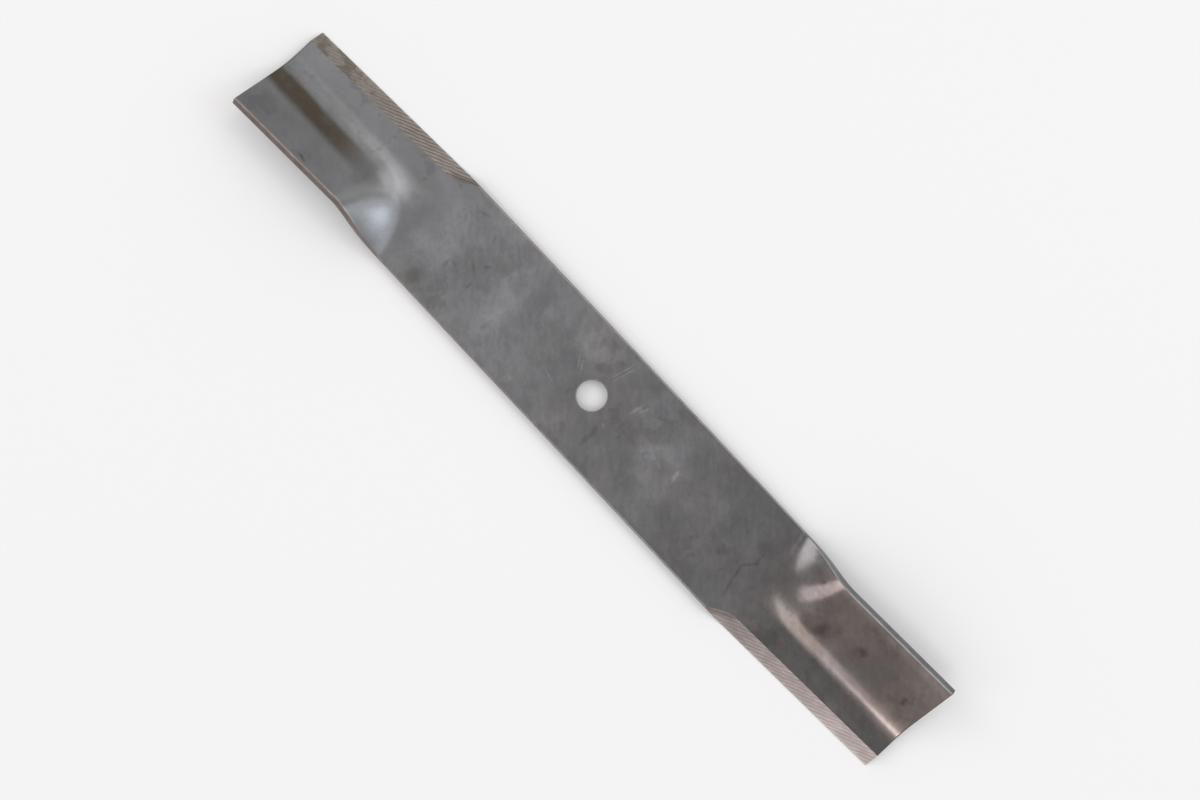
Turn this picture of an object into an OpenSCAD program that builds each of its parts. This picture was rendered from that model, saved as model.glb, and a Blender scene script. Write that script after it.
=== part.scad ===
// Rotary mower blade: a flat steel bar with a centre bore, two ground cutting
// edges and two lift wings bent up behind them.
// X runs along the blade and Z is up. The origin is on the bore's axis, at the
// underside. The two ends are alike, half a turn apart about the bore.
// At the +X end the cutting edge is on the -Y side and the wing on the +Y side,
// so the blade turns clockwise seen from above.

/* [Bar] */
// Length from tip to tip
blade_length = 463; // [400:1:600]
// Width of the bar before it is bent
blade_width = 63.5; // [54:0.5:76]
// Thickness of the bar
thickness = 5.2; // [4:0.1:7]
// Rounding of the bar's long edges
edge_radius = 0.8; // [0.3:0.1:1.4]

/* [Bore] */
// Diameter of the centre bore
bore_diameter = 16.1; // [10:0.1:26]

/* [Lift wing] */
// Angle of the wing above the flat of the bar
wing_angle = 31.5; // [20:0.5:45]
// Length of the bend line, from the tip to the middle of the ramp
wing_length = 89; // [60:1:120]
// Distance of the bend line from the middle of the bar, towards the cutting edge
bend_offset = 3; // [-6:0.5:7]
// Radius of the bend
bend_radius = 28; // [12:1:32]
// How far the foot of the ramp lies inboard of the bend line's end, at the back edge
ramp_foot = 21; // [14:1:40]
// How far the crown of the ramp lies outboard of the bend line's end, at the back edge
ramp_crown = 20; // [14:1:40]
// Length of the ramp at the bend, as a share of its length at the back edge
ramp_taper = 0.8; // [0.2:0.05:1]
// Angle in plan by which each end trails behind the middle of the bar
sweep_angle = 2.2; // [0:0.1:5]
// Share of that trail which the bend line doesn't follow
bend_hold = 0.5; // [0:0.1:1]

/* [Cutting edge] */
// Angle of the ground bevel above the underside
bevel_angle = 32; // [24:1:40]
// Height of the flat left along the cutting edge
edge_land = 0.4; // [0.2:0.1:1]
// Length of the cutting edge, from the tip inboard
edge_length = 106; // [70:1:140]
// How far the cutting edge lies inside the bar's own edge at the tip
edge_setback = 1.3; // [0.5:0.1:3]
// Radius of the grinding wheel, left where the bevel runs out of the bar
wheel_radius = 36; // [24:1:60]
// Distance from the tip at which the wheel lifts off the bevel
wheel_stop = 98; // [60:1:120]

/* [Hidden] */
steel_color = [0.42, 0.43, 0.45];
half_thick = thickness / 2;
half_width = blade_width / 2;
tip_x = blade_length / 2;
wing_slope = tan(wing_angle);
// Height over which the flat and the wing are eased into one another
bend_ease = bend_radius * wing_slope * wing_slope / 2;
// Where the bend line lies, and where the bar starts to bend
bend_y = -bend_offset;
bend_start = bend_y - bend_ease / wing_slope;
// Inner end of the bend line, and the stretch of the bar that the ramp takes up
ramp_x = tip_x - wing_length;
ramp_from = ramp_x - ramp_foot;
ramp_to = ramp_x + ramp_crown;
sweep_slope = tan(sweep_angle);
sweep_ease = sweep_slope * (ramp_to - ramp_from) / 4;
// Number of strips across the bar, along the ramp and round each long edge's corner
strips = 34;
slices = 26;
corner_steps = 3;
strip_width = (blade_width - 2 * edge_radius) / strips;
stations = concat([0], [for (i = [0 : slices]) ramp_from + (ramp_to - ramp_from) * i / slices], [tip_x]);
// Plan angle of the cutting edge, and length of the bevel up its slope
edge_taper = atan((sweep(tip_x) + edge_setback) / edge_length);
bevel_width = (thickness - edge_land) / sin(bevel_angle);
// Angle through which the wheel lifts clear of the bar, and the steps it is drawn in
wheel_turn = acos(1 - thickness / wheel_radius);
wheel_steps = 16;

// The higher of two heights, eased where they meet
function eased_max(a, b, ease) =
    max(a, b) + pow(max(ease - abs(a - b), 0), 2) / (4 * ease);

// Height of the wing above the flat, at a place across the bar
function wing_lift(y) = eased_max(0, wing_slope * (y - bend_y), bend_ease);

// Length of the ramp at a place across the bar, as a share of its length at the back edge
function fan(y) = ramp_taper + (1 - ramp_taper) * max(y - bend_start, 0) / (half_width - bend_start);

// Share of the way from the ramp's foot to its crown
function climb(x, y) =
    min(max((x - ramp_x + ramp_foot * fan(y)) / ((ramp_foot + ramp_crown) * fan(y)), 0), 1);

// A rise from 0 to 1 that starts and ends gently
function gentle(share) = share * share * (3 - 2 * share);

// Height of the bent bar's middle layer above the flat one
function lift(x, y) =
    let (held = y + bend_hold * sweep(x))
    wing_lift(held) * gentle(climb(x, held));

// Slope of the middle layer along X and across in Y
function slope_x(x, y) = (lift(x + 0.01, y) - lift(x - 0.01, y)) / 0.02;
function slope_y(x, y) = (lift(x, y + 0.01) - lift(x, y - 0.01)) / 0.02;

// Shift of the end of the bar towards its back edge
function sweep(x) = sweep_angle > 0 ? eased_max(0, sweep_slope * (x - ramp_x), sweep_ease) : 0;

// Positions across the bar, in steps that keep the bar's width when it is bent
function across(x, y, count) =
    count == 0 ? [y] : concat([y], across(x, y + strip_width / norm([1, slope_y(x, y + strip_width / 2)]), count - 1));

// One point of the bar's skin. side is 1 for the upper face and -1 for the underside,
// edge is -1 or 1 on the long edges and turn is the angle round their corner.
// The tip is shorn square to the bar.
function skin_point(x, y, side, edge, turn) =
    let (face = [-slope_x(x, y), -slope_y(x, y), 1])
    let (along = [0, 1, slope_y(x, y)])
    let (rise = half_thick - edge_radius * (1 - cos(turn)))
    let (point = [x, y, half_thick + lift(x, y)]
        + side * rise * face / norm(face)
        + edge * edge_radius * sin(turn) * along / norm(along))
    let (shorn_x = x < tip_x ? point.x : tip_x)
    [shorn_x, point.y + sweep(shorn_x), point.z];

// The upper or lower line of one cross-section, from the cutting edge to the back edge
function skin_line(x, side) =
    let (rows = across(x, edge_radius - half_width, strips))
    concat(
        [for (i = [corner_steps : -1 : 1]) skin_point(x, rows[0], side, -1, 90 * i / corner_steps)],
        [for (y = rows) skin_point(x, y, side, 0, 0)],
        [for (i = [1 : corner_steps]) skin_point(x, rows[strips], side, 1, 90 * i / corner_steps)]);

// Half of the bar, from the bore's axis to the tip
module bent_half() {
    count = strips + 1 + 2 * corner_steps;
    lines = [for (x = stations) for (side = [1, -1]) skin_line(x, side)];
    last = len(stations) - 1;
    function at(row, i) = row * count + i;
    points = [for (line = lines) for (point = line) point];
    upper = [for (s = [0 : last - 1]) for (i = [0 : count - 2])
        each [[at(2 * s, i), at(2 * s + 2, i + 1), at(2 * s + 2, i)],
              [at(2 * s, i), at(2 * s, i + 1), at(2 * s + 2, i + 1)]]];
    under = [for (s = [0 : last - 1]) for (i = [0 : count - 2])
        each [[at(2 * s + 1, i), at(2 * s + 3, i), at(2 * s + 3, i + 1)],
              [at(2 * s + 1, i), at(2 * s + 3, i + 1), at(2 * s + 1, i + 1)]]];
    front = [for (s = [0 : last - 1])
        each [[at(2 * s, 0), at(2 * s + 2, 0), at(2 * s + 3, 0)],
              [at(2 * s, 0), at(2 * s + 3, 0), at(2 * s + 1, 0)]]];
    back = [for (s = [0 : last - 1])
        each [[at(2 * s, count - 1), at(2 * s + 3, count - 1), at(2 * s + 2, count - 1)],
              [at(2 * s, count - 1), at(2 * s + 1, count - 1), at(2 * s + 3, count - 1)]]];
    inner = [for (i = [0 : count - 2])
        each [[at(0, i), at(1, i), at(1, i + 1)], [at(0, i), at(1, i + 1), at(0, i + 1)]]];
    tip = [for (i = [0 : count - 2])
        each [[at(2 * last, i), at(2 * last + 1, i + 1), at(2 * last + 1, i)],
              [at(2 * last, i), at(2 * last, i + 1), at(2 * last + 1, i + 1)]]];
    polyhedron(points = points, faces = concat(upper, under, front, back, inner, tip));
}

// Path of the grinding wheel, seen along its axle: flat on the bevel, then lifting off inboard
module wheel_path() {
    far = wheel_stop + 4 * thickness;
    rise = [for (i = [wheel_steps : -1 : 0])
        let (turn = wheel_turn * i / wheel_steps)
        wheel_radius * [-sin(turn), 1 - cos(turn)]];
    polygon(concat(rise, [[far, 0], [far, thickness]]));
}

// What is ground away along one cutting edge, with the trim of the bar in front of it
module edge_grind() {
    translate([tip_x - edge_length, -half_width, 0])
        rotate([0, 0, edge_taper]) {
            translate([-thickness, -4 * thickness, -1])
                cube([edge_length + 4 * thickness, 4 * thickness, thickness + 2]);
            translate([0, 0, edge_land])
                rotate([bevel_angle, 0, 0])
                    translate([edge_length - wheel_stop, bevel_width + thickness, 0])
                        rotate([90, 0, 0])
                            linear_extrude(bevel_width + 5 * thickness) wheel_path();
        }
}

module blade() {
    color(steel_color)
        difference() {
            union()
                for (turn = [0, 180])
                    rotate(turn) bent_half();
            translate([0, 0, -1])
                cylinder(d = bore_diameter, h = thickness + 2, $fn = 96);
            for (turn = [0, 180])
                rotate(turn) edge_grind();
        }
}

blade();
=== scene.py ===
"""Rotary mower blade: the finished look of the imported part, laid out as a Blender add-on."""

import math
from collections import namedtuple

import bmesh
import bpy
import numpy as np
from bpy.props import FloatProperty, FloatVectorProperty, PointerProperty
from bpy.types import Operator, Panel, PropertyGroup
from mathutils import Matrix, Vector


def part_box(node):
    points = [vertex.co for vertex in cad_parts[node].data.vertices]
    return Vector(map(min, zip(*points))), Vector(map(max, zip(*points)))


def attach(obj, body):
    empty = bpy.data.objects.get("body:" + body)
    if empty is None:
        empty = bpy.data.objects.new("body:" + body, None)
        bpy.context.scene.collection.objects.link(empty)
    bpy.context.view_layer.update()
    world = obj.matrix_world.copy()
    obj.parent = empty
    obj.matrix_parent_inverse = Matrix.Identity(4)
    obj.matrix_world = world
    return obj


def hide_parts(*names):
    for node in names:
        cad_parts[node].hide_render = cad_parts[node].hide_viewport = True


bl_info = {
    "name": "Rotary Mower Blade",
    "version": (1, 0, 0),
    "blender": (4, 5, 0),
    "location": "3D View > Sidebar > Mower Blade",
    "description": "Bent, ground and heat-treated mower blade with a soft studio stage",
    "category": "Add Mesh",
}

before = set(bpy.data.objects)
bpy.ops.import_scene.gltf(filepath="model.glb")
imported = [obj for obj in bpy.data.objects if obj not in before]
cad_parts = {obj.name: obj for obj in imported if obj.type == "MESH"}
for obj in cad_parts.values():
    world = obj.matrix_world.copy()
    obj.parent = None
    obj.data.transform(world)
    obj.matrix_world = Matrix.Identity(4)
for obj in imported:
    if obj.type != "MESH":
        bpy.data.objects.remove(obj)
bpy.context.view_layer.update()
BLADE_LOW, BLADE_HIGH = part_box("blade")

MM = 0.001

# Faces of the blade by how their surface was made
SCALE, GROUND, SHEARED = range(3)

# How finely the mesh is cut: numbers of steps, and lengths in millimetres
CORNER_STEPS = 8
WIDTH_STEPS = 64
QUARTER_TURN = np.linspace(0, math.pi / 2, CORNER_STEPS + 1)
FLAT_STEP = 4.0
WORKED_STEPS = 190
WORKED_MARGIN = 10.0
TIP_MARGIN = 1.2
TIP_RIM_STEPS = 4
HUB_REACH = 36.0
HUB_STEP = 2.5
RAY_STEPS = 16
RAY_CROWDING = 1.6
BORE_RIM_STEPS = 5
# Thinnest bar that a rim is worked out for, and the share of it that a rim may take
THINNEST = 1e-6
RIM_SHARE = 0.4
# Welding distances in metres, and the angle from which an edge stays sharp
WELD_DISTANCE = 2e-6
SLIVER = 1e-7
CREASE = math.radians(18)


def length(name, description, default_mm):
    """A length property, given in millimetres and kept in metres."""
    return FloatProperty(
        name=name, description=description, default=default_mm * MM,
        unit="LENGTH", precision=5,
    )


def angle(name, description, default_deg):
    """An angle property, given in degrees."""
    return FloatProperty(
        name=name, description=description,
        default=math.radians(default_deg), subtype="ANGLE",
    )


def colour(name, description, default):
    """A colour property, in linear light."""
    return FloatVectorProperty(
        name=name, description=description, default=default,
        subtype="COLOR", size=3, min=0.0, max=1.0,
    )


class BladeForm(PropertyGroup):
    """Sizes of the bent and ground bar."""

    blade_length: FloatProperty(
        name="Length", description="Tip to tip", unit="LENGTH",
        default=float(BLADE_HIGH[0] - BLADE_LOW[0]), precision=5,
    )
    blade_width: length("Width", "Width of the bar before bending", 63.5)
    thickness: length("Thickness", "Thickness of the bar", 5.2)
    edge_radius: length("Edge radius", "Rounding of the long edges", 0.8)
    bore_diameter: length("Bore", "Diameter of the centre bore", 16.1)
    bore_break: length("Bore rim", "Rounding of the bore's rims", 0.35)
    tip_break: length("Tip rim", "Rounding of the sheared tips", 0.3)
    wing_angle: angle("Wing angle", "Angle of the wing above the flat", 31.5)
    wing_length: length("Wing length", "Bend line, from tip to ramp", 89)
    bend_offset: length("Bend offset", "Bend line from the middle", 3)
    bend_radius: length("Bend radius", "Radius of the bend", 28)
    ramp_foot: length("Ramp foot", "Ramp's foot, inboard of the bend's end", 21)
    ramp_crown: length("Ramp crown", "Ramp's crown, outboard of that end", 20)
    ramp_taper: FloatProperty(
        name="Ramp taper", default=0.8, min=0.2, max=1.0, subtype="FACTOR",
        description="Ramp's length at the bend, as a share of the back edge's",
    )
    sweep_angle: angle("Sweep", "Angle by which the ends trail", 2.2)
    bend_hold: FloatProperty(
        name="Bend hold", default=0.5, min=0.0, max=1.0, subtype="FACTOR",
        description="Share of the sweep that the bend line doesn't follow",
    )
    bevel_angle: angle("Bevel angle", "Angle of the ground bevel", 32)
    edge_land: length("Edge land", "Flat left along the edge", 0.4)
    edge_length: length("Edge length", "Cutting edge from the tip", 106)
    edge_setback: length("Edge setback", "Ground off the bar at the tip", 1.3)
    wheel_radius: length("Wheel radius", "Grinding wheel's radius", 36)
    wheel_stop: length("Wheel stop", "Where the wheel lifts off", 98)


class SteelFinish(PropertyGroup):
    """Colours of the heat-treated steel."""

    scale_cool: colour("Cool scale", "Blue-grey scale", (0.206, 0.206, 0.212))
    scale_warm: colour("Warm scale", "Pinkish grey scale", (0.218, 0.204, 0.209))
    scale_brown: colour("Brown scale", "Scale gone brown", (0.22, 0.184, 0.171))
    stain: colour("Stain", "Stain along the bend", (0.088, 0.068, 0.048))
    ground_steel: colour("Bevel", "Freshly ground steel", (0.378, 0.322, 0.308))
    ground_brown: colour("Worn bevel", "Ground steel gone brown", (0.32, 0.284, 0.252))


class StudioStage(PropertyGroup):
    """Colour of the studio floor."""

    floor_colour: colour("Floor", "Pale floor", (0.78, 0.77, 0.765))


class BarShape:
    """The bent bar in millimetres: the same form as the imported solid."""

    def __init__(self, form):
        # Lengths go from metres to millimetres, angles and shares stay
        for name in BladeForm.__annotations__:
            plain = "angle" in name or name in ("bend_hold", "ramp_taper")
            value = getattr(form, name)
            setattr(self, name, value if plain else value / MM)
        self.half_thick = self.thickness / 2
        self.half_width = self.blade_width / 2
        self.tip_x = self.blade_length / 2
        self.wing_slope = math.tan(self.wing_angle)
        self.bend_ease = self.bend_radius * self.wing_slope ** 2 / 2
        self.bend_start = -self.bend_offset - self.bend_ease / self.wing_slope
        self.ramp_x = self.tip_x - self.wing_length
        self.ramp_from = self.ramp_x - self.ramp_foot
        self.sweep_slope = math.tan(self.sweep_angle)
        self.sweep_ease = (self.sweep_slope
                           * (self.ramp_foot + self.ramp_crown) / 4)
        self.edge_taper = (float(self.sweep(self.tip_x)) + self.edge_setback
                           ) / self.edge_length

    @staticmethod
    def eased_max(a, b, ease):
        """The higher of two heights, eased where they meet."""
        overlap = np.maximum(ease - np.abs(a - b), 0)
        return np.maximum(a, b) + overlap ** 2 / (4 * ease)

    def lift(self, x, y):
        """Height of the bent bar's middle layer above the flat one."""
        held = y + self.bend_hold * self.sweep(x)
        wing = self.eased_max(
            0.0, self.wing_slope * (held + self.bend_offset), self.bend_ease)
        fan = np.maximum(held - self.bend_start, 0) / (
            self.half_width - self.bend_start)
        fan = self.ramp_taper + (1 - self.ramp_taper) * fan
        climb = ((x - self.ramp_x + self.ramp_foot * fan)
                 / ((self.ramp_foot + self.ramp_crown) * fan))
        climb = np.clip(climb, 0, 1)
        return wing * climb ** 2 * (3 - 2 * climb)

    def slopes(self, x, y, step=0.01):
        """Slopes of the middle layer along the bar and across it."""
        along = self.lift(x + step, y) - self.lift(x - step, y)
        across = self.lift(x, y + step) - self.lift(x, y - step)
        return along / (2 * step), across / (2 * step)

    def sweep(self, x):
        """Shift of the end of the bar towards its back edge."""
        return self.eased_max(
            0.0, self.sweep_slope * (x - self.ramp_x), self.sweep_ease)

    def unroll(self, x, count=400):
        """Positions across the bent bar at even steps of its flat width."""
        step = self.blade_width / count
        y = np.full_like(x, -self.half_width)
        rows = [y]
        for _ in range(count):
            slope = self.slopes(x, y + step / 2)[1]
            y = y + step / np.hypot(1.0, slope)
            rows.append(y)
        return np.linspace(0, self.blade_width, count + 1), np.array(rows)

    def bevel_lift(self, x):
        """How far the grinding wheel has lifted off the bevel."""
        short = np.maximum(self.tip_x - self.wheel_stop - x, 0)
        short = np.minimum(short, self.wheel_radius)
        return self.wheel_radius - np.sqrt(self.wheel_radius ** 2 - short ** 2)

    def edge_inset(self, x):
        """Cutting edge, as a distance inside the bar's own front edge."""
        inboard = self.tip_x - self.edge_length
        return self.edge_taper * (x - inboard) - self.sweep(x)

    def bevel_height(self, x, inside):
        """Height of the ground bevel at a distance inside the front edge."""
        run = inside - self.edge_inset(x)
        return (self.edge_land + run * math.tan(self.bevel_angle)
                + self.bevel_lift(x) / math.cos(self.bevel_angle))

    def bevel_top(self, x):
        """Where the bevel meets the flat, inside the front edge."""
        rim_light_mask = (self.thickness - self.edge_land
                - self.bevel_lift(x) / math.cos(self.bevel_angle))
        return self.edge_inset(x) + rim_light_mask / math.tan(self.bevel_angle)

    def corner_drop(self, inside):
        """Fall of the bar's face in the rounding of its front edge."""
        reach = np.clip(self.edge_radius - inside, 0, self.edge_radius)
        return self.edge_radius - np.sqrt(self.edge_radius ** 2 - reach ** 2)


def bar_stations(shape, hub_x):
    """Positions along the bar: even on the flat, close over ramp and bevel."""
    worked_from = shape.ramp_from - WORKED_MARGIN
    flat = np.arange(hub_x, worked_from, FLAT_STEP)
    worked = np.linspace(worked_from, shape.tip_x - TIP_MARGIN, WORKED_STEPS)
    turn = np.linspace(0, math.pi / 2, TIP_RIM_STEPS)
    rim = shape.tip_x - shape.tip_break * (1 - np.sin(turn))
    return np.concatenate([flat, worked, rim])


def unit(vectors):
    """The same directions with a length of one."""
    return vectors / np.linalg.norm(vectors, axis=-1, keepdims=True)


def front_rows(shape, x, bevel_top):
    """Skin of the front edge: the ground bevel, or the bar's own rounded edge."""
    start = np.maximum(shape.edge_inset(x), 0)
    upper, lower = [], []
    for turn in QUARTER_TURN[:-1]:
        inside = start + (bevel_top - start) * (1 - math.cos(turn))
        y = inside - shape.half_width + shape.sweep(x)
        drop = shape.corner_drop(inside)
        top = np.minimum(shape.thickness - drop, shape.bevel_height(x, inside))
        upper.append(np.stack([x, y, top], -1))
        lower.append(np.stack([x, y, drop], -1))
    return upper, lower


def bent_rows(shape, x, y, turn):
    """Upper and lower skin at a place across, or a turn round the back corner."""
    along, across = shape.slopes(x, y)
    normal = unit(np.stack([-along, -across, np.ones_like(x)], -1))
    outward = unit(np.stack([np.zeros_like(x), np.ones_like(x), across], -1))
    middle = np.stack([x, y, shape.half_thick + shape.lift(x, y)], -1)
    middle = middle + outward * shape.edge_radius * math.sin(turn)
    reach = shape.half_thick - shape.edge_radius * (1 - math.cos(turn))
    rows = [middle + side * reach * normal for side in (1, -1)]
    for row in rows:
        row[-1, 0] = shape.tip_x
        row[:, 1] += shape.sweep(row[:, 0])
    return rows


def soft_tip(shape, x, upper, lower):
    """Draws both skins together in a soft rim where the tip was sheared."""
    past = np.maximum(x - (shape.tip_x - shape.tip_break), 0)
    inset = shape.tip_break - np.sqrt(shape.tip_break ** 2 - past ** 2)
    apart = np.maximum(upper[..., 2] - lower[..., 2], THINNEST)
    share = np.minimum(inset / apart, RIM_SHARE)[..., None]
    return upper + (lower - upper) * share, lower + (upper - lower) * share


def bar_skin(shape, x):
    """Upper and lower skin of half the bar, as grids of points."""
    flat_width, places = shape.unroll(x)
    bevel_top = np.maximum(shape.bevel_top(x), shape.edge_radius)
    upper, lower = front_rows(shape, x, bevel_top)
    # Flat, bend and wing, then the rounded back edge
    last = shape.blade_width - shape.edge_radius
    spots = [(bevel_top + (last - bevel_top) * i / WIDTH_STEPS, 0.0)
             for i in range(WIDTH_STEPS + 1)]
    spots += [(np.full_like(x, last), turn) for turn in QUARTER_TURN[1:]]
    for inside, turn in spots:
        y = np.array([np.interp(d, flat_width, places[:, i])
                      for i, d in enumerate(inside)])
        over, under = bent_rows(shape, x, y, turn)
        upper.append(over)
        lower.append(under)
    return soft_tip(shape, x, np.array(upper), np.array(lower))


class MeshPatch:
    """Collects grids of points and the faces between them."""

    def __init__(self):
        self.points, self.faces, self.kinds = [], [], []

    def grid(self, grid, kind, flip=False):
        """Adds a grid of points with quads of one kind, or a kind per quad."""
        rows, cols = grid.shape[:2]
        first = len(self.points)
        self.points.extend(map(tuple, grid.reshape(-1, 3)))
        for r in range(rows - 1):
            for c in range(cols - 1):
                a = first + r * cols + c
                quad = (a, a + 1, a + cols + 1, a + cols)
                self.faces.append(quad[::-1] if flip else quad)
                self.kinds.append(
                    kind if isinstance(kind, int) else int(kind[r][c]))


def half_bar(patch, shape, hub_x, turned):
    """One half of the bar from the hub to its tip."""
    x = bar_stations(shape, hub_x)
    upper, lower = bar_skin(shape, x)
    if turned:
        half_turn = np.array([-1.0, -1.0, 1.0])
        upper, lower = upper * half_turn, lower * half_turn
    middle_x = (x[1:] + x[:-1]) / 2
    ground = shape.bevel_top(middle_x) > shape.edge_radius
    under = np.full((upper.shape[0] - 1, len(x) - 1), SCALE)
    under[-CORNER_STEPS:] = SHEARED
    over = under.copy()
    over[:CORNER_STEPS] = np.where(ground, GROUND, SHEARED)
    patch.grid(upper, over, flip=True)
    patch.grid(lower, under)
    # Walls of the front edge, the back edge and the tip
    for edge, flip in ((0, True), (-1, False)):
        patch.grid(np.stack([lower[edge], upper[edge]]), SHEARED, flip=flip)
    patch.grid(np.stack([lower[:, -1], upper[:, -1]]), SHEARED, flip=True)
    return upper[:, 0], lower[:, 0]


def hub_edges(patch, along, upper, lower):
    """The bar's long edges beside the bore, drawn out from one section."""

    def drawn_out(line):
        grid = np.repeat(line[:, None, :], len(along), axis=1)
        grid[..., 0] = along
        return grid

    corner = CORNER_STEPS + 1
    for part in (slice(0, corner), slice(-corner, None)):
        patch.grid(drawn_out(upper[part]), SHEARED)
        patch.grid(drawn_out(lower[part]), SHEARED, flip=True)
    for edge, flip in ((0, False), (-1, True)):
        wall = np.stack([lower[edge], upper[edge]])
        patch.grid(drawn_out(wall), SHEARED, flip=flip)


def face_outline(hub_x, along, across):
    """Closed outline of the flat face round the bore."""
    outline = [(hub_x, y) for y in across[:-1]]
    outline += [(x, across[-1]) for x in along[:-1]]
    outline += [(-hub_x, y) for y in across[:0:-1]]
    outline += [(x, across[0]) for x in along[:0:-1]]
    return np.array(outline + outline[:1])


def raised(plan, height):
    """Points in plan, lifted to a height."""
    height = np.broadcast_to(height, plan.shape[:-1] + (1,))
    return np.concatenate([plan, height], -1)


def bored_faces(patch, shape, outline):
    """Both flat faces in rays round the bore, with its rims and its wall."""
    radius = shape.bore_diameter / 2
    rim = shape.bore_break
    bearing = unit(outline)
    share = np.linspace(0, 1, RAY_STEPS)[:, None, None] ** RAY_CROWDING
    rays = bearing * (radius + rim) * (1 - share) + outline * share
    turn = np.linspace(0, math.pi / 2, BORE_RIM_STEPS)[:, None, None]
    rounding = bearing * (radius + rim * (1 - np.cos(turn)))
    drop = rim * (1 - np.sin(turn))
    for top in (True, False):
        level = shape.thickness if top else 0.0
        height = level - drop if top else level + drop
        patch.grid(raised(rays, level), SCALE, flip=top)
        patch.grid(raised(rounding, height), SHEARED, flip=top)
    wall = [raised(bearing * radius, height)
            for height in (rim, shape.thickness - rim)]
    patch.grid(np.stack(wall), SHEARED, flip=True)


def hub_plate(patch, shape, hub_x, upper, lower):
    """The flat middle of the bar."""
    along = np.linspace(hub_x, -hub_x, 2 * int(hub_x / HUB_STEP) + 1)
    hub_edges(patch, along, upper, lower)
    across = upper[CORNER_STEPS:len(upper) - CORNER_STEPS, 1]
    bored_faces(patch, shape, face_outline(hub_x, along, across))


def blade_mesh(shape):
    """Mesh of the whole blade, welded from its patches."""
    patch = MeshPatch()
    upper, lower = half_bar(patch, shape, HUB_REACH, turned=False)
    half_bar(patch, shape, HUB_REACH, turned=True)
    hub_plate(patch, shape, HUB_REACH, upper, lower)
    made = bmesh.new()
    # Rounding errors don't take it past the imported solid's box
    points = np.clip(np.array(patch.points) * MM, BLADE_LOW, BLADE_HIGH)
    corners = [made.verts.new(point) for point in points]
    for face, kind in zip(patch.faces, patch.kinds):
        made.faces.new([corners[i] for i in face]).material_index = kind
    bmesh.ops.remove_doubles(made, verts=made.verts, dist=WELD_DISTANCE)
    bmesh.ops.dissolve_degenerate(made, edges=made.edges, dist=SLIVER)
    bmesh.ops.recalc_face_normals(made, faces=made.faces)
    for face in made.faces:
        face.smooth = True
    for edge in made.edges:
        edge.smooth = (len(edge.link_faces) == 2
                       and edge.calc_face_angle(0.0) < CREASE)
    mesh = bpy.data.meshes.new("mower_blade")
    made.to_mesh(mesh)
    made.free()
    return mesh


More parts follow.
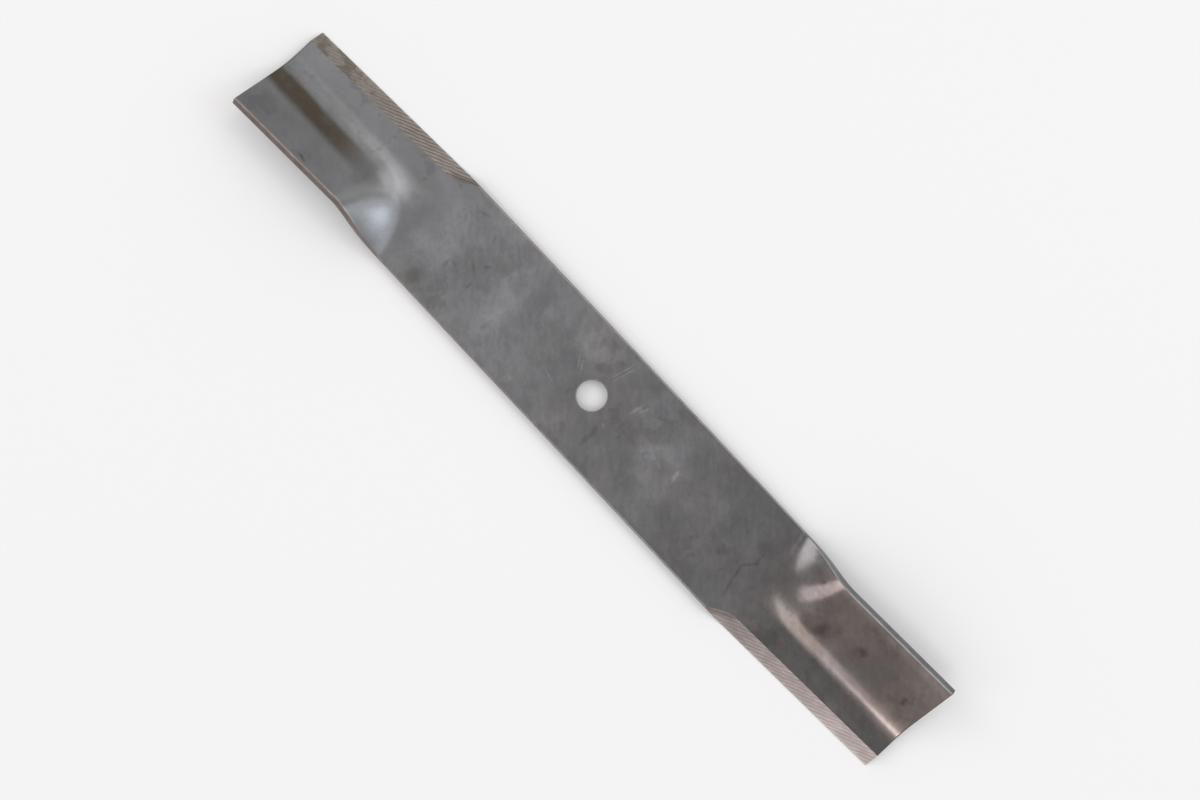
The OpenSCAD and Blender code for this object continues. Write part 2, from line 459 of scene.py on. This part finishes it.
class NodeSheet:
    """Short-hand for laying out a material's nodes."""

    def __init__(self, tree):
        self.tree = tree
        tree.nodes.clear()

    def add(self, kind, sockets=None, **settings):
        """Adds a node, sets its properties and fills or links its sockets."""
        node = self.tree.nodes.new(kind)
        for name, value in settings.items():
            setattr(node, name, value)
        for key, value in (sockets or {}).items():
            self.fill(node.inputs[key], value)
        return node

    def fill(self, socket, value):
        """Links a socket to another node's output, or sets its value."""
        if isinstance(value, bpy.types.NodeSocket):
            self.tree.links.new(value, socket)
        elif socket.type == "RGBA":
            socket.default_value = (*value, 1.0)
        else:
            socket.default_value = value

    def maths(self, operation, first, second=0.0):
        """One step of arithmetic."""
        return self.add("ShaderNodeMath", {0: first, 1: second},
                        operation=operation).outputs[0]

    def vectors(self, operation, *values):
        """One step of arithmetic on vectors."""
        return self.add("ShaderNodeVectorMath", dict(enumerate(values)),
                        operation=operation).outputs[0]

    def times(self, first, *others):
        """Product of several values."""
        for other in others:
            first = self.maths("MULTIPLY", first, other)
        return first

    def change(self, value, low, high, start=0.0, end=1.0):
        """Smooth change from start to end as a value goes from low to high."""
        return self.add("ShaderNodeMapRange", {
            "Value": value, "From Min": low, "From Max": high,
            "To Min": start, "To Max": end,
        }, interpolation_type="SMOOTHSTEP").outputs[0]

    def shaded(self, tone, share, factor):
        """A tone, times a factor to the extent that a share is full."""
        return self.times(tone, self.change(share, 0.0, 1.0, 1.0, factor))

    def tinted(self, base, tone):
        """A colour made paler or darker by a tone."""
        return self.add("ShaderNodeVectorMath", {0: base, 3: tone},
                        operation="SCALE").outputs[0]

    def blend(self, share, first, second):
        """Mixes two colours."""
        return self.add("ShaderNodeMix", {0: share, 6: first, 7: second},
                        data_type="RGBA").outputs[2]

    def noise(self, place, size, seed, detail=2.0, roughness=0.5):
        """Soft noise with features of a size in millimetres."""
        return self.add("ShaderNodeTexNoise", {
            "Vector": place, "Scale": 1 / size, "W": seed,
            "Detail": detail, "Roughness": roughness,
        }, noise_dimensions="4D").outputs[0]

    def place_mm(self):
        """Place on the part in millimetres, whole and by axis."""
        place = self.add("ShaderNodeTexCoord").outputs["Object"]
        place = self.vectors("MULTIPLY", place, (1 / MM,) * 3)
        axes = self.add("ShaderNodeSeparateXYZ", {0: place}).outputs
        return place, axes[0], axes[1], axes[2]

    def ragged(self, place, size, reach, seed):
        """The same places, shifted a little so that drawn edges wander."""
        stir = self.add("ShaderNodeTexNoise", {
            "Vector": place, "Scale": 1 / size, "W": seed, "Detail": 2.0,
        }, noise_dimensions="4D").outputs["Color"]
        stir = self.vectors("SUBTRACT", stir, (0.5,) * 3)
        return self.vectors("MULTIPLY_ADD", stir, (2 * reach,) * 3, place)

    def turned(self, place, turn, size=(1.0, 1.0, 1.0), centre=(0.0, 0.0, 0.0)):
        """The same places in a frame of their own, moved, turned and sized."""
        return self.add("ShaderNodeMapping", {
            "Vector": place, "Location": centre,
            "Rotation": (0.0, 0.0, math.radians(turn)), "Scale": size,
        }, vector_type="TEXTURE").outputs[0]

    def mark(self, place, x, y, span, width, turn, core):
        """A long spot at a place in plan, full inside its core."""
        inside = self.turned(
            place, turn, (span / 2, width / 2, MARK_HEIGHT), (x, y, 0.0))
        far = self.add("ShaderNodeVectorMath", {0: inside},
                       operation="LENGTH").outputs["Value"]
        return self.change(far, 1.0, core)

    def steel(self, base, roughness, height, depth):
        """Metal shader with a relief of a depth in mm, joined to the output."""
        relief = self.add("ShaderNodeBump", {
            "Height": height, "Distance": depth * MM, "Strength": 1.0})
        shader = self.add("ShaderNodeBsdfPrincipled", {
            "Base Color": base, "Roughness": roughness, "Metallic": 1.0,
            "Normal": relief.outputs[0]})
        self.add("ShaderNodeOutputMaterial", {"Surface": shader.outputs[0]})


def new_material(name, kind=NodeSheet):
    """A material and the sheet for its nodes."""
    material = bpy.data.materials.new(name)
    material.use_nodes = True
    return material, kind(material.node_tree)


# Marks on the bar, seen from above: x, y, length, width and turn, in mm and degrees
PALE_SCRATCHES = (
    (-22, -9, 16, 1, -15),
    (-17, 7, 16, 1, -55),
    (-14, 6, 12, 1, -55),
    (2, 20, 26, 1, 75),
    (4, 20, 26, 1, 75),
    (21, 12, 15, 3.5, 80),
    (24, 14, 9, 3, 70),
    (15, -6, 5, 2, -30),
    (59, 3, 11, 4, 100),
)
PALE_PATCHES = (
    (-66, 2, 30, 80, 0),
    (-112, 0, 40, 60, 0),
    (-36, -26, 10, 5, 60),
    (52, 4, 45, 60, 15),
    (48, 0, 40, 50, 15),
    (-18, 18, 28, 22, 20),
    # Painted highlight on the crown of the +X end's ramp
    (152, 5, 18, 16, 0),
    (206, -18, 46, 7, 5),
)
DARK_SPOTS = (
    (187, 10, 14, 11, 20),
    (167, 5, 26, 13, 45),
    (221, 9, 10, 8, -30),
    (148, 20, 7, 4, 50),
    (-10, -7, 8, 3, 95),
    (-187, -24, 11, 3, 0),
)
SOFT_SHADES = (
    (-138, 14, 34, 16, 0),
    (-123, 2, 24, 28, -45),
    (-104, 18, 24, 22, -45),
    (-90, 2, 26, 40, 10),
    (-53, 10, 30, 22, -50),
    (8, 0, 64, 56, 0),
    (31, 20, 16, 10, -15),
    (26, 2, 20, 24, 0),
    (122, 18, 28, 11, 80),
    (218, 10, 22, 18, -30),
)
DARK_LINES = (
    (-92, 10, 15, 4, 45),
    (-100, -8, 10, 3.5, 95),
    (-97, -5, 8, 3.5, -10),
    (-84, 6, 10, 3, 45),
    (-89, 1, 13, 3.5, -40),
    (-84, -7, 11, 3, -85),
    (-92, 19, 12, 3.5, 110),
    (-110, 14, 13, 4, 100),
    (-105, 24, 12, 3.5, 20),
    (14, -14, 28, 6, 90),
)
FINE_LINE = (
    (118, -16, 13, 3, 110),
    (116, -8, 15, 2.5, 100),
    (117, -1, 13, 3, 55),
    (119, 4, 12, 3.5, 95),
)
BROWN_PATCH = (-107, -25, 15, 12, 45)
# Height of a mark in mm, so that it goes through the whole bar
MARK_HEIGHT = 1e4

# Stretches over which the scale changes, in mm along the bar or across it.
# The stained wing is at the -X end and the brown one at the +X end.
ROSY_X = (-45.0, -10.0)
BROWN_X = (115.0, 165.0)
BROWN_Y = (-14.0, -6.0)
BROWN_TIP_X = (196.0, 230.0)
PALE_BACK_Y = (21.0, 27.0)
# Painted shade on the flat strip between bend and bevel at the +X end
SHADED_STRIP_X = (120.0, 165.0)
SHADED_STRIP_Y = (-7.5, -11.0)
SMOOTH_WING_X = (-132.0, -104.0)
STAINED_WING_X = (-215.0, -120.0)
STAIN_X = (-150.0, -192.0)
STAIN_FRONT_Y = (1.8, -1.4)
STAIN_BACK_Y = (-11.6, -7.0)
# Painted shade darkens the bar over this stretch, towards the +X end
SHADE_ALONG_BAR_X = (-150.0, 150.0)
MIDDLE_START_X = (-125.0, -95.0)
MIDDLE_END_X = (60.0, 110.0)
GLOSS_X = (-60.0, 60.0)
# How much of the stain's colour shows along the bend and in the patch
STAIN_SHARE = 0.92
PATCH_SHARE = 0.45
# Wiped strokes: their turn in degrees, and their size along and across in mm
WIPE_TURN = 137.0
WIPE_SIZE = (9.0, 2.6, 2.6)


class ScaleSheet(NodeSheet):
    """Heat scale: the places and noises that its colours and tones share."""

    def __init__(self, tree):
        super().__init__(tree)
        self.place, self.x, self.y, _ = self.place_mm()
        self.loose = self.ragged(self.place, size=6.0, reach=2.4, seed=1.0)
        self.wander = self.ragged(self.place, size=14.0, reach=1.1, seed=8.0)
        self.mottle = self.noise(
            self.loose, size=9.0, seed=3.0, detail=4.0, roughness=0.6)
        self.grain = self.noise(
            self.place, size=0.9, seed=4.0, detail=3.0, roughness=0.6)
        self.outer = self.change(self.x, *BROWN_X)
        self.wing = self.times(self.outer, self.change(self.y, *BROWN_Y))

    def colours(self, finish):
        """Cool grey, pinkish in places past the bore, and brown on one wing."""
        warmth = self.noise(self.loose, size=26.0, seed=5.0)
        rosy = self.times(self.change(warmth, 0.42, 0.58),
                          self.change(self.x, *ROSY_X))
        base = self.blend(rosy, finish.scale_cool, finish.scale_warm)
        brown = self.times(self.outer, self.change(self.y, *BROWN_Y, 0.4, 1.0),
                           self.change(warmth, 0.3, 0.5, 0.7, 1.0))
        return self.blend(brown, base, finish.scale_brown)

    def stained(self, base, finish):
        """Brown stain along one bend, and a patch by the back edge."""
        across = self.add("ShaderNodeSeparateXYZ", {0: self.wander}).outputs[1]
        stain = self.times(
            self.change(self.x, *STAIN_X), self.change(across, *STAIN_FRONT_Y),
            self.change(across, *STAIN_BACK_Y),
            self.change(self.mottle, 0.3, 0.6, 0.75, 1.0), STAIN_SHARE)
        patch = self.times(self.mark(self.loose, *BROWN_PATCH, 0.2), PATCH_SHARE)
        return self.blend(self.maths("ADD", stain, patch), base, finish.stain)

    def mottled(self):
        """Tone of the scale: clouds, grain, mottle, wiped strokes and blotches."""
        clouds = self.noise(self.loose, size=34.0, seed=2.0, detail=3.0)
        tone = self.times(self.change(clouds, 0.3, 0.7, 0.92, 1.07),
                          self.change(self.grain, 0.2, 0.8, 0.95, 1.05))
        wiped = self.turned(self.loose, WIPE_TURN, WIPE_SIZE)
        strokes = self.noise(wiped, size=1.0, seed=9.0)
        # Mottle and strokes are weaker on the stained wing
        full = self.change(self.x, *SMOOTH_WING_X)
        for noise, reach, weak, strong in (
                (self.mottle, 0.25, 0.06, 0.1), (strokes, 0.2, 0.0, 0.06)):
            swing = self.change(full, 0.0, 1.0, weak, strong)
            tone = self.times(tone, self.change(
                noise, 0.5 - reach, 0.5 + reach,
                self.maths("SUBTRACT", 1.0, swing), self.maths("ADD", 1.0, swing)))
        # Ragged darker blotches in some stretches of the bar
        spots = self.noise(
            self.loose, size=13.0, seed=6.0, detail=3.0, roughness=0.6)
        stretches = self.noise(self.place, size=45.0, seed=7.0, detail=1.0)
        blotch = self.times(self.change(spots, 0.53, 0.6),
                            self.change(stretches, 0.42, 0.6))
        return self.shaded(tone, blotch, 0.86)

    def graded(self, tone):
        """The tone's drift along the bar, with painted shade darkening it towards the +X end,
        and across the brown wing.
        """
        # Painted shade: the tone falls along the whole bar towards the +X end, with steps over
        # the middle
        tone = self.times(
            tone, self.change(self.x, *SHADE_ALONG_BAR_X, 1.0, 0.72),
            self.change(self.x, *STAINED_WING_X, 0.91, 1.0),
            self.change(self.x, *MIDDLE_START_X, 1.0, 1.09),
            self.change(self.x, *MIDDLE_END_X, 1.0, 0.92))
        # Painted shade darkens the flat strip between bend and bevel at the brown end; the
        # brown wing is paler at its tip and along its back edge
        shaded_strip = self.times(self.change(self.x, *SHADED_STRIP_X),
                           self.change(self.y, *SHADED_STRIP_Y))
        tip = self.times(self.change(self.x, *BROWN_TIP_X), self.wing)
        pale_back = self.times(self.change(self.y, *PALE_BACK_Y), self.wing)
        for share, factor in ((shaded_strip, 0.78), (tip, 1.25), (pale_back, 1.35)):
            tone = self.shaded(tone, share, factor)
        return tone

    def marked(self, tone):
        """Patches, spots, lines and scratches at their places on the bar."""
        uneven = self.change(self.mottle, 0.36, 0.56, 0.3, 1.0)
        for marks, spread, factor, core, mask in (
                (PALE_PATCHES, self.loose, 1.17, 0.2, 1.0),
                (DARK_SPOTS, self.loose, 0.5, 0.0, uneven),
                (SOFT_SHADES, self.loose, 0.87, 0.2, uneven),
                (DARK_LINES, self.wander, 0.78, 0.0, uneven),
                (FINE_LINE, self.wander, 0.76, 0.0, 1.0)):
            for spot in marks:
                share = self.times(self.mark(spread, *spot, core), mask)
                tone = self.shaded(tone, share, factor)
        scratch = 0.0
        for line in PALE_SCRATCHES:
            scratch = self.maths(
                "ADD", scratch, self.mark(self.place, *line, 0.1))
        scratch = self.times(scratch, self.change(self.grain, 0.3, 0.6, 0.4, 1.0))
        return self.shaded(tone, scratch, 1.45)


def scale_finish(finish):
    """Mottled grey scale left by the heat treatment."""
    material, sheet = new_material("heat scale", ScaleSheet)
    base = sheet.stained(sheet.colours(finish), finish)
    tone = sheet.marked(sheet.graded(sheet.mottled()))
    rough = sheet.maths("ADD", sheet.change(sheet.x, *GLOSS_X, 0.235, 0.19),
                        sheet.change(sheet.mottle, 0.25, 0.75, -0.02, 0.02))
    height = sheet.maths("ADD", sheet.times(sheet.grain, 0.25), sheet.mottle)
    sheet.steel(sheet.tinted(base, tone), rough, height, depth=0.006)
    return material


# Stretches over which the bevel and the rolled edges change, in mm along the bar
# or, for Z, above its underside
BEVEL_SIDES_X = (-20.0, 20.0)
BEVEL_RUST_X = (-165.0, -195.0)
FAINT_LINES_X = (-198.0, -168.0)
BRIGHT_BEVEL_X = (130.0, 225.0)
WORN_BEVEL_X = (-190.0, -140.0)
CUTTING_EDGE_Z = (1.7, 0.5)
LIFT_OFF_X = (136.0, 128.0)
LIFT_OFF_Z = (2.0, 4.2)
ROLLED_EDGE_X = (-120.0, 120.0)
# Grinding lines: their turn in degrees, how close the coarse ones lie, and how
# much the fine ones are squeezed across and drawn out along
GRIND_TURN = -65.0
GRIND_SCALE = 0.185
FINE_SCALE = (2.4, 0.12, 1.0)


def grinding_lines(sheet, place):
    """Coarse and fine lines at a slant to the cutting edge."""
    slanted = sheet.turned(place, GRIND_TURN)
    coarse = sheet.add("ShaderNodeTexWave", {
        "Vector": slanted, "Scale": GRIND_SCALE, "Distortion": 1.4,
        "Detail": 2.0, "Detail Scale": 1.5,
    }, wave_type="BANDS", bands_direction="X", wave_profile="SIN").outputs["Fac"]
    drawn = sheet.add("ShaderNodeMapping", {
        "Vector": slanted, "Scale": FINE_SCALE}).outputs[0]
    return coarse, sheet.noise(drawn, size=1.0, seed=12.0)


def ground_finish(finish):
    """Bright bevel with the diagonal lines of the grinding wheel."""
    material, sheet = new_material("ground bevel")
    place, x, _, z = sheet.place_mm()
    loose = sheet.ragged(place, size=7.0, reach=0.5, seed=11.0)
    coarse, fine = grinding_lines(sheet, loose)
    mottle = sheet.noise(place, size=9.0, seed=13.0, detail=3.0)
    base = sheet.blend(sheet.change(x, *BEVEL_SIDES_X),
                       finish.ground_brown, finish.ground_steel)
    # Patches near one tip have gone brown
    rust = sheet.times(sheet.change(x, *BEVEL_RUST_X),
                       sheet.change(mottle, 0.48, 0.6), 0.5)
    base = sheet.blend(rust, base, finish.stain)
    # Coarse lines are faint at that tip and on the other bevel
    depth = sheet.maths("ADD", sheet.change(x, *FAINT_LINES_X, 0.14, 0.42),
                        sheet.change(x, *BEVEL_SIDES_X, 0.0, -0.2))
    tone = sheet.maths("SUBTRACT", 1.0, sheet.times(
        depth, sheet.change(coarse, 0.5, 0.08)))
    # Paler along the cutting edge, darker where the wheel lifted off
    tone = sheet.times(
        tone, sheet.change(fine, 0.3, 0.7, 0.88, 1.12),
        sheet.change(mottle, 0.3, 0.7, 0.9, 1.1),
        sheet.change(x, *BRIGHT_BEVEL_X, 0.9, 1.32),
        sheet.change(x, *WORN_BEVEL_X, 1.0, 1.14),
        sheet.change(z, *CUTTING_EDGE_Z, 1.0, 1.18))
    lift_off_dark = sheet.times(sheet.change(sheet.maths("ABSOLUTE", x), *LIFT_OFF_X),
                       sheet.change(z, *LIFT_OFF_Z))
    tone = sheet.shaded(tone, lift_off_dark, 0.66)
    height = sheet.maths("ADD", sheet.times(coarse, 1.5), fine)
    sheet.steel(sheet.tinted(base, tone), 0.4, height, depth=0.02)
    return material


def edge_finish(finish):
    """Sheared and rolled edges of the bar, with a painted highlight on their upper rim and
    painted shade on their sides.
    """
    material, sheet = new_material("rolled edge")
    place, x, _, _ = sheet.place_mm()
    mottle = sheet.noise(place, size=6.0, seed=21.0, detail=4.0, roughness=0.6)
    base = sheet.blend(sheet.change(x, *ROLLED_EDGE_X),
                       finish.scale_brown, finish.scale_cool)
    facing = sheet.add("ShaderNodeNewGeometry").outputs["Normal"]
    rim_light_mask = sheet.add("ShaderNodeSeparateXYZ", {0: facing}).outputs[2]
    # Painted highlight and shade: paler where the edge faces up, darker where it faces
    # sideways
    tone = sheet.times(sheet.change(mottle, 0.25, 0.75, 0.8, 1.2),
                       sheet.change(rim_light_mask, 0.55, 0.8, 0.7, 1.15))
    sheet.steel(sheet.tinted(base, tone), 0.3, mottle, depth=0.01)
    return material


def floor_finish(stage):
    """Matt pale floor."""
    material, sheet = new_material("pale floor")
    shader = sheet.add("ShaderNodeBsdfPrincipled", {
        "Base Color": stage.floor_colour, "Roughness": 0.7,
        "Specular IOR Level": 0.2})
    sheet.add("ShaderNodeOutputMaterial", {"Surface": shader.outputs[0]})
    return material


# A soft box: the place along the bar that it hangs over, its bearing and its
# tilt from overhead in degrees as seen from there, its size, level and tint.
# Places, sizes and the reach to each box are in metres.
Lamp = namedtuple("Lamp", "end bearing tilt width depth level tint")
LAMP_REACH = 2.4
LEFT_END, RIGHT_END = -0.16, 0.16
LAMPS = {
    "right_wide": Lamp(LEFT_END, 41, 45, 1.65, 1.6, 0.95, (0.86, 0.94, 1.0)),
    "right_core": Lamp(LEFT_END, 38, 49, 0.7, 0.7, 1.75, (0.84, 0.93, 1.0)),
    "top_wide": Lamp(LEFT_END, 88, 41, 0.85, 1.15, 1.25, (1.0, 1.0, 0.98)),
    "top_core": Lamp(LEFT_END, 100, 24, 0.65, 0.65, 1.5, (1.0, 1.0, 0.98)),
    "over_box": Lamp(LEFT_END, 149, 16, 0.9, 0.2, 1.2, (1.0, 1.0, 1.0)),
    "left_box": Lamp(RIGHT_END, -121, 56, 0.8, 0.7, 2.15, (1.0, 0.95, 1.0)),
    "back_box": Lamp(RIGHT_END, -173, 53, 1.05, 0.95, 2.3, (0.97, 0.98, 1.0)),
    "low_wide": Lamp(RIGHT_END, -83, 26, 0.5, 1.15, 1.9, (1.0, 0.98, 0.96)),
    "low_core": Lamp(RIGHT_END, -54, 28, 0.3, 0.45, 6.4, (0.99, 0.98, 1.0)),
}
# Level of the light from all round
SURROUND_LEVEL = 0.765
# Half size of the floor and its gap under the blade, in metres
FLOOR_REACH = 12.0
FLOOR_GAP = 0.05 * MM
# Where the camera stands and what it looks at, and its lens and film, in mm
CAMERA_EYE = (38.75, -13.7, 1021.5)
CAMERA_AIM = (4.39, 1.58, 0.0)
CAMERA_LENS = 60.0
FILM_WIDTH = 36.0
# Nearest and farthest distance that the camera sees, in metres
CAMERA_NEAR = 0.01
CAMERA_FAR = 50.0
# Angle of the picture's right-hand direction from the blade's own length
PICTURE_TURN = math.radians(46.8)


class BLADE_OT_body(Operator):
    """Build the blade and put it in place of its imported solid"""

    bl_idname = "mower_blade.body"
    bl_label = "Blade"

    def execute(self, context):
        scene = context.scene
        shape = BarShape(scene.blade_form)
        mesh = blade_mesh(shape)
        blade = bpy.data.objects.new("mower_blade", mesh)
        scene.collection.objects.link(blade)
        finish = scene.steel_finish
        for made in (scale_finish, ground_finish, edge_finish):
            mesh.materials.append(made(finish))
        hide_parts("blade")
        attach(blade, "root")
        return {"FINISHED"}


class BLADE_OT_stage(Operator):
    """Lay the floor, hang the lamps and place the camera"""

    bl_idname = "mower_blade.stage"
    bl_label = "Studio stage"

    def execute(self, context):
        scene = context.scene
        scene.view_settings.view_transform = "Standard"
        self.floor(scene)
        self.world(scene)
        self.lamps(scene)
        self.camera(scene)
        return {"FINISHED"}

    @staticmethod
    def floor(scene):
        """A wide pale floor just under the blade."""
        mesh = bpy.data.meshes.new("studio_floor")
        level = float(BLADE_LOW[2]) - FLOOR_GAP
        corners = [(x * FLOOR_REACH, y * FLOOR_REACH, level)
                   for x, y in ((-1, -1), (1, -1), (1, 1), (-1, 1))]
        mesh.from_pydata(corners, [], [(0, 1, 2, 3)])
        floor = bpy.data.objects.new("studio_floor", mesh)
        scene.collection.objects.link(floor)
        mesh.materials.append(floor_finish(scene.studio_stage))

    @staticmethod
    def world(scene):
        """Even soft light from all round."""
        world = bpy.data.worlds.new("studio")
        world.use_nodes = True
        sheet = NodeSheet(world.node_tree)
        back = sheet.add("ShaderNodeBackground", {
            "Color": (1.0, 1.0, 1.0), "Strength": SURROUND_LEVEL})
        sheet.add("ShaderNodeOutputWorld", {"Surface": back.outputs[0]})
        scene.world = world

    @staticmethod
    def lamps(scene):
        """Soft boxes round the camera."""
        for name, lamp in LAMPS.items():
            light = bpy.data.lights.new(name, "AREA")
            light.shape = "RECTANGLE"
            light.size, light.size_y = lamp.width, lamp.depth
            light.energy = lamp.level * lamp.width * lamp.depth * math.pi
            light.color = lamp.tint
            bearing, tilt = math.radians(lamp.bearing), math.radians(lamp.tilt)
            back = Vector((math.sin(tilt) * math.cos(bearing),
                           math.sin(tilt) * math.sin(bearing), math.cos(tilt)))
            side = Vector((0, 0, 1)).cross(back).normalized()
            facing = Matrix((side, back.cross(side), back)).transposed()
            holder = bpy.data.objects.new(name, light)
            holder.location = back * LAMP_REACH + Vector((lamp.end, 0, 0))
            holder.rotation_euler = facing.to_euler()
            scene.collection.objects.link(holder)

    @staticmethod
    def camera(scene):
        """The photograph's view, nearly straight down."""
        eye = Vector(CAMERA_EYE) * MM
        back = (eye - Vector(CAMERA_AIM) * MM).normalized()
        right = Vector((math.cos(PICTURE_TURN), math.sin(PICTURE_TURN), 0))
        right = (right - back * right.dot(back)).normalized()
        up = back.cross(right)
        data = bpy.data.cameras.new("camera")
        data.sensor_fit = "HORIZONTAL"
        data.sensor_width = FILM_WIDTH
        data.lens = CAMERA_LENS
        data.clip_start = CAMERA_NEAR
        data.clip_end = CAMERA_FAR
        camera = bpy.data.objects.new("camera", data)
        placed = Matrix((right, up, back)).transposed().to_4x4()
        placed.translation = eye
        camera.matrix_world = placed
        scene.collection.objects.link(camera)
        scene.camera = camera


class BLADE_PT_panel(Panel):
    """Lists the blade's sizes, finish and stage"""

    bl_idname = "BLADE_PT_panel"
    bl_label = "Mower Blade"
    bl_space_type = "VIEW_3D"
    bl_region_type = "UI"
    bl_category = "Mower Blade"

    def draw(self, context):
        layout = self.layout
        scene = context.scene
        for group in (scene.blade_form, scene.steel_finish, scene.studio_stage):
            box = layout.box()
            for name in type(group).__annotations__:
                box.prop(group, name)
        layout.operator(BLADE_OT_body.bl_idname)
        layout.operator(BLADE_OT_stage.bl_idname)


GROUPS = {
    "blade_form": BladeForm,
    "steel_finish": SteelFinish,
    "studio_stage": StudioStage,
}
CLASSES = (*GROUPS.values(), BLADE_OT_body, BLADE_OT_stage, BLADE_PT_panel)


def register():
    """Registers the classes and hangs their settings on the scene."""
    for item in CLASSES:
        bpy.utils.register_class(item)
    for name, group in GROUPS.items():
        setattr(bpy.types.Scene, name, PointerProperty(type=group))


def unregister():
    """Takes the settings and classes away again."""
    for name in GROUPS:
        delattr(bpy.types.Scene, name)
    for item in reversed(CLASSES):
        bpy.utils.unregister_class(item)


def main():
    """Builds the blade and its stage."""
    register()
    bpy.ops.mower_blade.body()
    bpy.ops.mower_blade.stage()
    bpy.context.view_layer.update()


if __name__ == "__main__":
    main()
